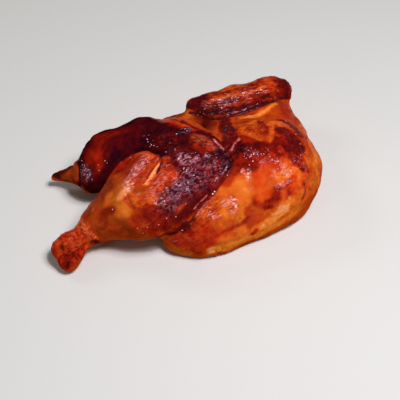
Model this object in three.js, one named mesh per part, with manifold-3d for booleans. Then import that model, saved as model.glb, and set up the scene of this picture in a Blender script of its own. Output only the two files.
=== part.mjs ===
// A roast half chicken, lying on its cut side with the skin up.
// Millimetres. X runs from the tail to the neck, Y from the keel of the breast
// to the spine, and Z up from the surface that the cut side rests on.

import * as THREE from 'three';
import { MarchingCubes } from 'three/addons/objects/MarchingCubes.js';
import { mergeVertices } from 'three/addons/utils/BufferGeometryUtils.js';
import Module from 'manifold-3d';

const wasm = await Module();
wasm.setup();

// Driving dimensions of the rounded masses: centre, half sizes, and the turn
// about Z and tilt about Y in degrees.
const breast = { at: [55, -10, 20], radii: [51, 45, 34], turn: 6 };
const keel = { at: [47, -22, 8], radii: [47, 33, 20], turn: 4 };
const tender = { at: [24, -32, 14], radii: [39, 27, 24], turn: 22 };
const belly = { at: [11, -33, 8], radii: [36, 24, 16], turn: 14 };
const back = { at: [18, 27, 11], radii: [64, 34, 26] };
const shoulder = { at: [83, 22, 15], radii: [26.5, 32, 21] };
const calf = { at: [-19, -18, 31], radii: [41, 29, 24], turn: 14, tilt: -14 };

// Driving dimensions of the limbs: points along each one, as X, Y, Z and the
// radius of the flesh there.
const thigh = [
  [22, 3, 42, 12.5],
  [8, 15, 36, 20],
  [-14, 31, 28, 20],
  [-41, 32, 24, 18.5],
  [-56, 26, 20, 13.5],
];
const kneeSkin = [[19, -6, 43, 12], [2, -10, 44, 13]];
const kneeCorner = [[31, -14, 42, 6], [24, -10, 43, 8]];
const drumstick = [[24, -12, 42, 9], [4, -17, 38, 16.5]];
const kneeCap = [[-20, 1, 37, 13], [-12, -1, 38, 13]];
const shin = [[-44, -13, 25, 18], [-60, -18, 19, 12.5], [-71, -21, 15, 8.8]];
const upperKnuckle = [[-71, -22, 14, 7.8], [-83, -25.5, 12, 8], [-92, -27.5, 11, 7.8]];
const lowerKnuckle = [[-72, -23, 14, 6.5], [-84, -33, 11, 6], [-90.5, -38, 7, 6]];
const tail = [[-60, 32, 15, 8.5], [-81, 42, 10, 3.5]];
const backSkin = [[1, 43, 26, 10], [20, 46, 25, 12]];
const forearm = [
  [33, 57, 34, 7.5],
  [47, 53, 34, 8.2],
  [67, 52.3, 34.3, 10.6],
  [91, 55, 33, 11],
  [101, 55, 32, 10],
];
const upperArm = [[97, 46, 24, 9], [79, 37, 28, 13], [53, 37, 28, 12]];

// How softly two masses run together: the width of the fillet between them.
const softly = 14;
const firmly = 10;
const creased = 4;
const tucked = 3;

const skinCell = 3.9;       // spacing of the lattice on which the skin is found
const latticeSteps = 64;
const skinCentre = new THREE.Vector3(5, 2, 30);
const nearestToCorner = 0.1;  // keeps the skin this part of a cell off the lattice's corners
const mostTriangles = 20000;
const weldDistance = 1e-3;
const roomyBlock = 400;

const roastSkin = new THREE.MeshStandardMaterial({ color: 0x9c3d16, roughness: 0.4, metalness: 0 });

// Distance to an ellipsoid, negative inside.
function mass({ at, radii, turn = 0, tilt = 0 }) {
  const centre = new THREE.Vector3(...at);
  const half = new THREE.Vector3(...radii);
  const [tiltAngle, turnAngle] = [tilt, turn].map(THREE.MathUtils.degToRad);
  const euler = new THREE.Euler(0, tiltAngle, turnAngle, 'ZYX');
  const turnBack = new THREE.Quaternion().setFromEuler(euler).invert();
  const local = new THREE.Vector3();
  return (point) => {
    local.copy(point).sub(centre).applyQuaternion(turnBack).divide(half);
    const reach = local.length();
    const slope = Math.max(local.divide(half).length(), 1e-6);
    return reach * (reach - 1) / slope;
  };
}

// Distance to the tapered stretch between two points of a limb.
function stretch([x1, y1, z1, radius1], [x2, y2, z2, radius2]) {
  const bone = new THREE.Line3(new THREE.Vector3(x1, y1, z1), new THREE.Vector3(x2, y2, z2));
  const nearest = new THREE.Vector3();
  return (point) => {
    const along = bone.closestPointToPointParameter(point, true);
    bone.at(along, nearest);
    return nearest.distanceTo(point) - THREE.MathUtils.lerp(radius1, radius2, along);
  };
}

// Joins shapes with a fillet of the given width.
function join(width, ...shapes) {
  return (point) => shapes.map((shape) => shape(point)).reduce((a, b) => {
    const overlap = Math.max(width - Math.abs(a - b), 0);
    return Math.min(a, b) - overlap * overlap / (4 * width);
  });
}

function limb(points, width) {
  return join(width, ...points.slice(1).map((point, i) => stretch(points[i], point)));
}

function trunk() {
  const ribs = join(softly, mass(breast), mass(back));
  const front = join(firmly, ribs, mass(belly), mass(shoulder), mass(keel));
  return join(firmly, join(softly, front, mass(tender)), limb(backSkin, firmly));
}

function shank() {
  const [long, low, cap] = [drumstick, shin, kneeCap].map((points) => limb(points, firmly));
  const muscle = join(firmly, long, mass(calf), low, cap);
  const knuckles = join(tucked, limb(upperKnuckle, creased), limb(lowerKnuckle, creased));
  return join(creased, muscle, knuckles);
}

function leg() {
  const overKnee = join(firmly, limb(kneeSkin, creased), limb(kneeCorner, creased));
  return join(softly, join(tucked, limb(thigh, firmly), shank()), overKnee);
}

function bird() {
  const body = join(tucked, join(firmly, trunk(), limb(upperArm, firmly)), limb(tail, tucked));
  return join(tucked, body, limb(forearm, firmly), leg());
}

// Finds the surface of a shape on the lattice, as one closed mesh.
function surfaceOf(shape) {
  const cubes = new MarchingCubes(latticeSteps, roastSkin, false, false, mostTriangles);
  const middle = latticeSteps / 2;
  const gap = nearestToCorner * skinCell;
  const point = new THREE.Vector3();
  cubes.isolation = 0;
  for (let z = 0; z < latticeSteps; z++) {
    for (let y = 0; y < latticeSteps; y++) {
      for (let x = 0; x < latticeSteps; x++) {
        point.set(x - middle, y - middle, z - middle).multiplyScalar(skinCell).add(skinCentre);
        const depth = -shape(point);
        cubes.setCell(x, y, z, Math.abs(depth) < gap ? gap * (Math.sign(depth) || 1) : depth);
      }
    }
  }
  cubes.update();
  const corners = cubes.positionArray.slice(0, cubes.count * 3);
  const geometry = new THREE.BufferGeometry();
  geometry.setAttribute('position', new THREE.BufferAttribute(corners, 3));
  geometry.scale(middle * skinCell, middle * skinCell, middle * skinCell);
  geometry.translate(skinCentre.x, skinCentre.y, skinCentre.z);
  return geometry;
}

function toSolid(geometry) {
  const bare = new THREE.BufferGeometry();
  bare.setAttribute('position', geometry.getAttribute('position'));
  bare.setIndex(geometry.getIndex());
  const welded = mergeVertices(bare, weldDistance);
  return new wasm.Manifold(new wasm.Mesh({
    numProp: 3,
    vertProperties: welded.getAttribute('position').array,
    triVerts: welded.getIndex().array,
  }));
}

function toGeometry(solid) {
  const { vertProperties, triVerts } = solid.getMesh();
  const geometry = new THREE.BufferGeometry();
  geometry.setAttribute('position', new THREE.BufferAttribute(vertProperties, 3));
  geometry.setIndex(new THREE.BufferAttribute(triVerts, 1));
  return geometry;
}

// The flesh is cut flat at Z = 0, and the middle of the bird's box is put on the Z axis.
function halfChicken() {
  const below = new THREE.BoxGeometry(roomyBlock, roomyBlock, roomyBlock);
  below.translate(0, 0, -roomyBlock / 2);
  const geometry = toGeometry(toSolid(surfaceOf(bird())).subtract(toSolid(below)));
  geometry.computeBoundingBox();
  const { x, y } = geometry.boundingBox.getCenter(new THREE.Vector3());
  geometry.translate(-x, -y, 0);
  geometry.computeVertexNormals();
  const mesh = new THREE.Mesh(geometry, roastSkin);
  mesh.name = 'half_chicken';
  return mesh;
}

const group = new THREE.Group();
group.add(halfChicken());

export default group;
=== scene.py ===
import math

import bmesh
import bpy
import numpy as np
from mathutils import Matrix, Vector
from mathutils.bvhtree import BVHTree
from mathutils.kdtree import KDTree


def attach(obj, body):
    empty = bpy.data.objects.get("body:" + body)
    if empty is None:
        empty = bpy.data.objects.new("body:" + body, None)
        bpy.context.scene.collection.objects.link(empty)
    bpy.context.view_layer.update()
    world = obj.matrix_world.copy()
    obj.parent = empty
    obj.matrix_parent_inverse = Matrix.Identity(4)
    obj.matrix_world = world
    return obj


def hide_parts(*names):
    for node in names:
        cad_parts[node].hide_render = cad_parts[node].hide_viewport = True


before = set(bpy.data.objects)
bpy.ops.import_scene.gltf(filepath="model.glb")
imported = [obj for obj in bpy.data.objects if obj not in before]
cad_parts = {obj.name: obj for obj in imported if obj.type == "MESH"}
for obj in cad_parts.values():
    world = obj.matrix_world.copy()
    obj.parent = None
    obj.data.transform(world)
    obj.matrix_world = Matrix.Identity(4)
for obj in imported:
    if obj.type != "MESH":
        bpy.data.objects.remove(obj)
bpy.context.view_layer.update()        # one body, "root", with one node, "half_chicken"

# the camera comes first: named places on the bird are pixels of its picture
view = {
    "azimuth": -19,                     # degrees; 0 looks along +Y
    "elevation": 47,
    "distance": 0.695,
    "target": (0.0101, -0.0082, 0.0),
    "lens": 85,                         # mm
    "sensor": 36,                       # mm, the picture's width
    "picture": 400,                     # pixels, square
}


def direction(azimuth, elevation):
    turn, tilt = math.radians(azimuth), math.radians(elevation)
    return Vector((math.sin(turn) * math.cos(tilt), -math.cos(turn) * math.cos(tilt), math.sin(tilt)))


def makeCamera(shot):
    data = bpy.data.cameras.new("camera")
    data.lens = shot["lens"]
    data.sensor_width = shot["sensor"]
    data.sensor_fit = "HORIZONTAL"
    camera = bpy.data.objects.new("camera", data)
    back = direction(shot["azimuth"], shot["elevation"])
    camera.location = Vector(shot["target"]) + shot["distance"] * back
    camera.rotation_euler = back.to_track_quat("Z", "Y").to_euler()
    bpy.context.collection.objects.link(camera)
    bpy.context.scene.camera = camera
    return camera


camera = makeCamera(view)
bpy.context.view_layer.update()
print("camera placed")

# the bird's flesh: the solid, remeshed fine and smoothed
mm = 0.001
flesh = {
    "voxel": 0.83 * mm,
    "weld": 0.01 * mm,
    "smoothing": (0.5, 12),     # strength and rounds
    "flatBelow": 0.3 * mm,      # lower than this is the cut side
    "flatAngle": 0.01,          # radians
    "floorBand": 3.0 * mm,      # relief fades out over this height above the cut side
}


def makeFlesh(sizes):
    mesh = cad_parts["half_chicken"].data.copy()
    bird = bpy.data.objects.new("roastBird", mesh)
    bpy.context.collection.objects.link(bird)
    weld = bird.modifiers.new("weld", "WELD")
    weld.merge_threshold = sizes["weld"]
    remesh = bird.modifiers.new("remesh", "REMESH")
    remesh.mode = "VOXEL"
    remesh.voxel_size = sizes["voxel"]
    remesh.use_smooth_shade = True
    smooth = bird.modifiers.new("smooth", "SMOOTH")
    smooth.factor, smooth.iterations = sizes["smoothing"]
    graph = bpy.context.evaluated_depsgraph_get()
    bird.data = bpy.data.meshes.new_from_object(bird.evaluated_get(graph))
    bird.modifiers.clear()
    bird.data.name = "roastBird"
    bird.data.materials.clear()
    return bird


def mergeCutSide(mesh, sizes):
    # the flat cut side needs no fine faces
    form = bmesh.new()
    form.from_mesh(mesh)
    flat = [v for v in form.verts if v.co.z < sizes["flatBelow"]]
    for v in flat:
        v.co.z = 0
    edges = [e for e in form.edges if e.verts[0].co.z == 0 and e.verts[1].co.z == 0]
    bmesh.ops.dissolve_limit(form, angle_limit=sizes["flatAngle"], verts=flat, edges=edges)
    form.to_mesh(mesh)
    form.free()


bird = makeFlesh(flesh)
mergeCutSide(bird.data, flesh)
print("flesh:", len(bird.data.vertices), "points")


# places on the skin
def readPoints(mesh):
    points = np.empty(len(mesh.vertices) * 3)
    mesh.vertices.foreach_get("co", points)
    return points.reshape(-1, 3)


def readNormals(mesh):
    normals = np.empty(len(mesh.vertices) * 3)
    mesh.vertices.foreach_get("normal", normals)
    return normals.reshape(-1, 3)


def writePoints(mesh, points):
    mesh.vertices.foreach_set("co", points.ravel())
    mesh.update()


def skinTree(obj):
    mesh = obj.data
    return BVHTree.FromPolygons([v.co for v in mesh.vertices], [p.vertices for p in mesh.polygons])


tree = skinTree(bird)
focal = view["picture"] * view["lens"] / view["sensor"]     # pixels
middle = view["picture"] / 2
sightSlack = 1.5 * mm       # skin this close to what a line of sight meets is seen


def onSkin(pixel):
    if len(pixel) == 3:     # a place behind the bird, in mm
        return np.array(tree.find_nearest(Vector(pixel) * mm)[0])
    look = Vector(((pixel[0] - middle) / focal, (middle - pixel[1]) / focal, -1)).normalized()
    ray = camera.matrix_world.to_3x3() @ look
    hit = tree.ray_cast(camera.location, ray)[0]
    if hit is None:      # just outside the outline: the skin nearest to the line of sight
        hit = tree.find_nearest(camera.location + ray * view["distance"])[0]
    return np.array(hit)


def toPicture(points):
    local = (points - np.array(camera.location)) @ np.array(camera.matrix_world.to_3x3())
    scale = focal / -local[:, 2]
    return np.stack([middle + local[:, 0] * scale, middle - local[:, 1] * scale], axis=1)


def seenFrom(points, normals, place):
    # True where the skin isn't hidden by other skin
    toEye = np.array(place) - points
    seen = np.einsum("ij,ij->i", toEye, normals) > 0
    for i in np.nonzero(seen)[0]:
        ray = Vector(-toEye[i])
        reach = tree.ray_cast(place, ray.normalized())[3]
        seen[i] = reach is not None and reach > ray.length - sightSlack
    return seen


def curveThrough(corners, stepsEach=4):
    # a smooth curve that passes through every corner
    corners = np.array(corners)
    if len(corners) < 3:
        return corners
    padded = np.vstack([2 * corners[0] - corners[1], corners, 2 * corners[-1] - corners[-2]])
    out = []
    for a, b, c, d in zip(padded[:-3], padded[1:-2], padded[2:-1], padded[3:]):
        for t in np.linspace(0, 1, stepsEach, endpoint=False):
            out.append(0.5 * (2 * b + (c - a) * t + (2 * a - 5 * b + 4 * c - d) * t ** 2
                              + (3 * b - a - 3 * c + d) * t ** 3))
    return np.array(out + [corners[-1]])


def pathOnSkin(pixels):
    return curveThrough([onSkin(pixel) for pixel in pixels])


def nearPath(points, path):
    # distance to the path, length along it, offset from its nearest point, and its way there
    if len(path) == 1:
        offset = points - path[0]
        return np.linalg.norm(offset, axis=1), np.zeros(len(points)), offset, np.zeros_like(points)
    best = np.full(len(points), np.inf)
    along = np.zeros(len(points))
    offsets = np.zeros_like(points)
    ways = np.zeros_like(points)
    run = 0.0
    for a, b in zip(path[:-1], path[1:]):
        way = b - a
        length = np.linalg.norm(way)
        share = np.clip((points - a) @ way / length ** 2, 0, 1)
        offset = points - a - share[:, None] * way
        distance = np.linalg.norm(offset, axis=1)
        near = distance < best
        best[near] = distance[near]
        along[near] = run + share[near] * length
        offsets[near] = offset[near]
        ways[near] = way / length
        run += length
    return best, along, offsets, ways


def closeTo(points, path, reach):
    low, high = path.min(axis=0) - reach, path.max(axis=0) + reach
    return np.nonzero(((points > low) & (points < high)).all(axis=1))[0]


def fade(distance, full, reach):
    # 1 within full, 0 beyond reach, smooth between
    t = np.clip((reach - distance) / (reach - full), 0, 1)
    return t * t * (3 - 2 * t)


scatterX, scatterY, scatterZ, scatterSeed = 374761393, 668265263, 1440662683, 1013904223
scatterAgain = 1274126177       # numbers large enough to shuffle a lattice of whole numbers
low31Bits, low16Bits = 0x7FFFFFFF, 0xFFFF


def latticeNoise(points, seed):
    # random values from -1 to 1 at the corners of a lattice with a spacing of 1, and smooth between
    cell = np.floor(points).astype(np.int64)
    part = points - cell
    part = part ** 3 * (part * (part * 6 - 15) + 10)
    total = np.zeros(len(points))
    for dx in (0, 1):
        for dy in (0, 1):
            for dz in (0, 1):
                mixed = (cell[:, 0] + dx) * scatterX + (cell[:, 1] + dy) * scatterY
                mixed = mixed + (cell[:, 2] + dz) * scatterZ + seed * scatterSeed
                mixed = ((mixed ^ (mixed >> 13)) * scatterAgain) & low31Bits
                value = ((mixed ^ (mixed >> 15)) & low16Bits) / low16Bits * 2 - 1
                weight = np.abs(1 - np.array([dx, dy, dz]) - part).prod(axis=1)
                total += value * weight
    return total


def cloud(points, size, seed, octaves=3):
    # each octave is twice as fine and half as strong
    total = np.zeros(len(points))
    for octave in range(octaves):
        total += 0.5 ** octave * latticeNoise(points / size * 2 ** octave, seed + octave)
    return total


# the parts of the bird, as outlines in the picture; the rest is the breast
# the lobe is the skin of the back between wing and thigh; the knee is the lit half of the leg, with shin
# and knuckle, and the thigh is the leg without it
outlines = {
    "wing": [(186, 107), (187, 103), (192, 99), (198, 95), (213, 92), (222, 88), (232, 84), (243, 81),
             (255, 79), (262, 77), (270, 72), (279, 73), (286, 78), (291, 86), (292, 97), (288, 99),
             (276, 99), (268, 101), (262, 104), (256, 106), (250, 108), (243, 111), (235, 113),
             (228, 115), (222, 118), (214, 119), (207, 116), (200, 114), (193, 113), (188, 110)],
    "lobe": [(160, 110), (187, 108), (200, 113), (212, 118), (221, 117), (219, 126), (217, 134),
             (210, 132), (200, 128), (192, 124), (184, 120), (175, 118), (165, 116)],
    "tail": [(48, 175), (52, 166), (66, 160), (78, 159), (79, 170), (80, 180), (83, 188), (72, 188)],
    "leg": [(79, 182), (78, 170), (79, 159), (83, 148), (91, 138), (100, 130), (112, 122), (122, 116),
            (133, 112), (147, 112), (158, 115), (170, 118), (182, 120), (192, 124), (200, 128),
            (208, 132), (214, 135), (220, 141), (225, 147), (230, 155), (234, 162), (232, 166),
            (228, 173), (222, 181), (216, 189), (211, 194), (205, 201), (199, 208), (194, 216),
            (189, 225), (183, 231), (174, 236), (166, 240), (157, 246), (100, 246), (88, 262),
            (70, 280), (48, 270), (40, 240), (70, 222), (85, 208), (96, 196), (86, 190)],
    "knee": [(96, 198), (104, 185), (110, 174), (117, 166), (124, 158), (130, 153), (138, 151),
             (147, 150), (154, 152), (160, 157), (172, 164), (200, 200), (150, 260), (40, 290),
             (30, 240), (70, 222), (85, 208)],
}
outlineBlur = 1.2       # pixels


def inOutline(places, outline):
    # 1 inside, 0 outside, blurred at the edge
    corners = np.array(outline, float)
    inside = np.zeros(len(places), bool)
    nearest = np.full(len(places), np.inf)
    for a, b in zip(corners, np.roll(corners, -1, axis=0)):
        crosses = (a[1] > places[:, 1]) != (b[1] > places[:, 1])
        if a[1] != b[1]:
            at = a[0] + (places[:, 1] - a[1]) * (b[0] - a[0]) / (b[1] - a[1])
            inside ^= crosses & (places[:, 0] < at)
        way = b - a
        share = np.clip((places - a) @ way / (way @ way), 0, 1)
        nearest = np.minimum(nearest, np.linalg.norm(places - a - share[:, None] * way, axis=1))
    signed = np.where(inside, nearest, -nearest)
    return np.clip(0.5 + signed / outlineBlur, 0, 1)


def findParts(points, normals):
    # what the camera can't see goes with the nearest skin that it can
    seen = seenFrom(points, normals, camera.location)
    seenPlaces = np.nonzero(seen)[0]
    places = toPicture(points[seen])
    near = KDTree(len(seenPlaces))
    for number, i in enumerate(seenPlaces):
        near.insert(points[i], number)
    near.balance()
    source = np.empty(len(points), int)
    source[seenPlaces] = np.arange(len(seenPlaces))
    for i in np.nonzero(~seen)[0]:
        source[i] = near.find(points[i])[1]
    parts = {name: inOutline(places, outline)[source] for name, outline in outlines.items()}
    parts["thigh"] = parts["leg"] * (1 - parts["knee"])
    parts["breast"] = np.ones(len(points))
    for name in ("wing", "lobe", "tail", "leg"):
        parts["breast"] *= 1 - parts[name]
    parts["bird"] = np.ones(len(points))
    return parts


# paths are pixels; three numbers are a place behind the bird in mm
# two thin lines of skin where the thigh meets the breast, and the last corner of the leg
thighLine = [(214, 140), (219, 145), (224, 150)]
breastLine = [(239, 139), (235, 144), (231, 150)]
legCorner = [(222, 156), (228, 161), (231, 164)]
underWing = [(190, 113), (200, 115), (211, 119), (222, 118), (236, 114), (248, 110), (258, 106), (268, 102),
             (278, 100), (289, 100)]

swellReach = 4      # widths; farther out a swell or a crease is flat
# swells and hollows: path, width and height in mm
swells = [
    # the thigh's rim
    ([(84, 155), (94, 142), (108, 131), (126, 122), (145, 118)], 6, 1.6),
    # on both sides of the tear, and below it
    ([(145, 158), (136, 170), (128, 184), (121, 199)], 4.5, 1.5),
    ([(158, 166), (151, 180), (144, 192), (139, 204)], 4.5, -2.2),
    ([(138, 199), (146, 195)], 3, 1.2),
    # round the knee
    ([(125, 158), (131, 153), (142, 148)], 4, -1.6),
    ([(113, 182), (121, 170), (130, 160), (140, 155), (150, 156)], 3, 1.2),
    # on the thigh
    ([(97, 158), (100, 167)], 6, 0.8),
    ([(182, 132), (187, 130)], 2.4, 0.9),
    # the dark flap, and a fold under the wing
    ([(226, 124), (229, 133), (230, 142)], 3.5, 1.2),
    ([(243, 118), (255, 115), (266, 110), (275, 105)], 1.8, 0.6),
    # along the keel, and on the breast
    ([(205, 247), (222, 241), (240, 235), (256, 229)], 3, 1.0),
    ([(222, 203), (232, 202), (233, 212)], 3, 0.8),
    ([(203, 218)], 2.5, 0.7),
    # the knuckle
    ([(61, 247)], 2, -1.6),
    ([(54, 240), (62, 237), (70, 235)], 2, 0.8),
    ([(70, 249), (79, 243)], 2.2, 0.9),
    # a dent in the breast
    ([(262, 205), (268, 208)], 4, -0.8),
    # the tail
    ([(55, 175), (62, 170), (70, 166), (77, 164)], 4, 2.4),
    ([(58, 179), (66, 182), (74, 186), (82, 189)], 3.5, -3.0),
    # the knuckle's end, and the neck's
    ([(57, 256), (60, 259)], 4, 0.6),
    ([(318, 186), (314, 194)], 4, 1.4),
]
# creases, and ridges where the depth is negative: path, width and depth in mm
creases = [
    # the drumstick's skin edge over the breast
    ([(233, 165), (227, 174), (220, 184), (212, 194), (204, 203), (197, 212), (191, 222), (183, 231),
      (172, 238)], 1.1, 1.2),
    # round the knee
    ([(126, 156), (131, 153), (138, 150), (148, 149), (157, 153)], 1.7, 2.2),
    # the tear, its dark side, and the pocket below it
    ([(159, 158), (154, 165), (149, 173), (143, 182)], 1.0, 1.5),
    ([(161, 160), (159, 166), (157, 172)], 0.9, 1.3),
    ([(126, 194), (128, 200), (132, 206), (138, 208), (144, 204)], 1.0, 1.3),
    ([(150, 186), (157, 190), (163, 188)], 1.0, 0.8),
    # along the keel
    ([(190, 245), (200, 243), (212, 238), (223, 233), (235, 228), (246, 223), (257, 219)], 2.2, 0.5),
    ([(214, 248), (218, 245), (224, 250)], 0.9, 0.9),
    ([(208, 253), (214, 251), (220, 254)], 0.9, 0.8),
    # the notches at the neck side
    ([(324, 197), (316, 196), (310, 191)], 1.3, 1.8),
    ([(286, 222), (290, 215), (294, 208)], 1.0, 1.1),
    ([(302, 156), (304, 165), (305, 173)], 1.0, 0.6),
    ([(306, 180), (305, 190), (301, 200)], 1.1, 0.9),
    ([(310, 172), (311, 182), (309, 190)], 1.0, 0.7),
    # under the wing
    (underWing, 1.5, 2.4),
    ([(250, 107), (257, 105), (264, 101)], 0.8, -0.7),
    ([(271, 99), (281, 98)], 0.8, -0.6),
    ([(239, 120), (250, 120), (260, 119), (268, 115)], 0.9, 0.8),
    # the dark flap and the two thin lines by it
    ([(222, 118), (220, 126), (217, 133)], 1.3, 1.6),
    ([(234, 118), (236, 128), (240, 136), (242, 143)], 1.2, 1.0),
    (thighLine, 0.7, -0.4),
    (breastLine, 0.7, -0.4),
    ([(214, 135), (221, 141), (226, 149), (230, 157), (234, 163)], 1.4, 2.2),
    # the thigh against the skin of the back
    ([(160, 115), (170, 118), (180, 120), (190, 124), (200, 129), (210, 134)], 1.3, 2.0),
    ([(79, 160), (78, 170), (79, 180), (83, 188)], 1.6, 2.2),
    # small folds low on the calf
    ([(138, 229), (150, 230), (163, 231), (175, 228)], 1.0, 0.7),
    ([(150, 221), (165, 217), (179, 212)], 0.9, 0.6),
    ([(158, 235), (172, 231), (184, 224)], 1.0, -0.8),
    ([(191, 208), (198, 201), (205, 195)], 0.7, -0.6),
    # the knuckle's cleft, and fibres at the ankle
    ([(88, 245), (80, 250), (72, 255), (62, 260)], 1.3, 1.5),
    ([(66, 228), (70, 236), (76, 242)], 0.9, 0.7),
    ([(78, 226), (82, 234), (86, 242)], 0.9, 0.6),
    ([(73, 229), (77, 237), (81, 245)], 0.9, 0.5),
    # the tail
    ([(60, 174), (68, 176), (76, 177)], 1.2, 0.4),
]
# skin that ends in a small cliff, higher on the left of its path: path, then the width and height of the
# cliff and how far the height spreads, in mm
skinEdges = [
    # the drumstick's skin over the breast
    ([(172, 239), (183, 232), (191, 223), (197, 213), (204, 204), (212, 195), (220, 185), (227, 175),
      (233, 166)], 0.8, 1.5, 9),
    # the wing over the shoulder
    ([(190, 113), (205, 117), (222, 118), (240, 113), (258, 106), (275, 101), (289, 100)], 0.8, 1.0, 7),
    # the skin's end at the ankle
    ([(79, 219), (83, 227), (88, 234), (93, 239), (98, 244)], 0.7, 0.9, 5),
    # the neck side
    ([(302, 200), (306, 186), (304, 170), (300, 150)], 0.7, 0.7, 6),
]


def swell(points, normals, settings, sign=1):
    # a sign of -1 presses in
    lift = np.zeros(len(points))
    for pixels, width, height in settings:
        path = pathOnSkin(pixels)
        near = closeTo(points, path, swellReach * width * mm)
        distance = nearPath(points[near], path)[0]
        lift[near] += sign * height * mm * np.exp(-(distance / (width * mm)) ** 2)
    return points + normals * lift[:, None]


def raiseEdges(points, normals, settings):
    lift = np.zeros(len(points))
    for pixels, cliff, height, spread in settings:
        path = pathOnSkin(pixels)
        near = closeTo(points, path, spread * mm)
        distance, _, offset, way = nearPath(points[near], path)
        right = np.einsum("ij,ij->i", offset, np.cross(way, normals[near]))
        share = 0.5 - 0.5 * np.tanh(right / (cliff * mm))
        lift[near] += height * mm * share * fade(distance, 0, spread * mm)
    return points + normals * lift[:, None]


# wrinkles that run along a path on each part; sizes are mm, and fine is the length and breadth of the
# material's own ridges
grains = {
    "wing": {"path": [(192, 107), (215, 104), (240, 98), (265, 92), (288, 88)],
             "reach": 16, "long": 11, "wide": 2.3, "height": 0.4, "fine": (8.0, 1.8)},
    "shoulder": {"path": [(212, 125), (240, 124), (262, 118), (281, 116), (296, 126), (307, 143)],
                 "reach": 16, "long": 13, "wide": 2.4, "height": 0.4, "fine": (8.0, 1.5)},
    "calf": {"path": [(120, 214), (145, 196), (175, 185), (205, 172), (226, 163)],
             "reach": 28, "long": 5.5, "wide": 2.6, "height": 0.45, "fine": (5.5, 2.1)},
    "thigh": {"path": [(92, 182), (102, 158), (120, 142), (150, 132), (185, 133), (210, 142)],
              "reach": 22, "long": 7, "wide": 2.8, "height": 0.35, "fine": (5.5, 2.2)},
    "breast": {"path": [(180, 240), (215, 215), (245, 190), (270, 165), (295, 140)],
               "reach": 55, "long": 8, "wide": 3.4, "height": 0.4, "fine": (5.0, 2.1)},
    "knuckle": {"path": [(96, 230), (82, 238), (62, 250)],
                "reach": 16, "long": 5, "wide": 2.8, "height": 0.5, "fine": (3.4, 2.2)},
    "tail": {"path": [(84, 172), (68, 172), (55, 173)],
             "reach": 10, "long": 9, "wide": 2.0, "height": 0.25, "fine": (5.0, 1.3)},
}
wrinkles = {
    "wave": (0.8, 0.7, 40),         # how far the grain wanders, how finely, and seed
    "large": (1.0, 1.0, 0.22, 50),  # height, fineness, sharpness and seed
    "small": (0.6, 1.5, 0.25, 60),
    "onSmooth": 0.15, "onCrisp": 1.6,
    "apart": 7.0,                   # keeps the parts' fine patterns apart
}


def wrinkle(points, normals, settings, shape, crisp):
    lift = np.zeros(len(points))
    total = np.zeros(len(points))
    nearest = np.full(len(points), np.inf)
    grainPlace = np.zeros_like(points)
    grainWay = np.zeros_like(points)
    for number, grain in enumerate(settings.values()):
        distance, along, offset, way = nearPath(points, pathOnSkin(grain["path"]))
        weight = fade(distance, grain["reach"] / 2 * mm, grain["reach"] * mm)
        across = np.einsum("ij,ij->i", offset, np.cross(way, normals))
        grid = np.stack([along / (grain["long"] * mm), across / (grain["wide"] * mm),
                         distance / (2 * grain["long"] * mm)], axis=1)
        wander, fineness, seed = shape["wave"]
        grid[:, 1] += wander * latticeNoise(grid * fineness, seed + number)
        crests = -shape["small"][0]
        for height, fineness, sharpness, seed in (shape["large"], shape["small"]):
            noise = latticeNoise(grid * fineness, seed + number)
            crests = crests + height * np.exp(-(noise / sharpness) ** 2)
        lift += weight * grain["height"] * mm * crests
        total += weight
        closer = distance / grain["reach"] < nearest
        nearest[closer] = (distance / grain["reach"])[closer]
        grainWay[closer] = way[closer]
        long, wide = grain["fine"]
        apart = np.full(len(points), shape["apart"] * number)
        grainPlace[closer] = np.stack([along / (long * mm), across / (wide * mm), apart], axis=1)[closer]
    lift *= (shape["onSmooth"] + shape["onCrisp"] * crisp) / np.maximum(total, 1)
    return points + normals * lift[:, None], grainPlace, grainWay


lumps = {"large": (0.8, 14, 7), "small": (0.25, 4.5, 17), "onSmooth": 0.15}     # height and size in mm, seed


def lumpy(points, normals, shape, crisp):
    (height, size, seed), (lowHeight, smallSize, smallSeed) = shape["large"], shape["small"]
    lift = height * mm * cloud(points, size * mm, seed)
    lift += lowHeight * mm * cloud(points, smallSize * mm, smallSeed) * (shape["onSmooth"] + crisp)
    return points + normals * lift[:, None]


# the skin's colour and finish, dabbed on path by path, with painted shade and painted highlights among them
# roast: 0 pale meat, 0.2 amber, 0.4 orange, 0.6 red brown, 0.8 mahogany, 1 charred
# warm: 0 yellow brown, 1 red; wet: how much grease shines on it; crisp: how finely it is wrinkled
# the pale strokes along the tops of the fine wrinkles, partly set grease and mostly a painted highlight: how
# much of them there is
# bareSkin is what a place has that no dab reaches
bareSkin = {"roast": 0.50, "warm": 0.40, "wet": 0.05, "crisp": 0.15, "fat": 0.0}


def dab(path, full, reach, **finish):
    # the finish holds within full mm of the path, and fades out at reach
    return path, full, reach, finish


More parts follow.
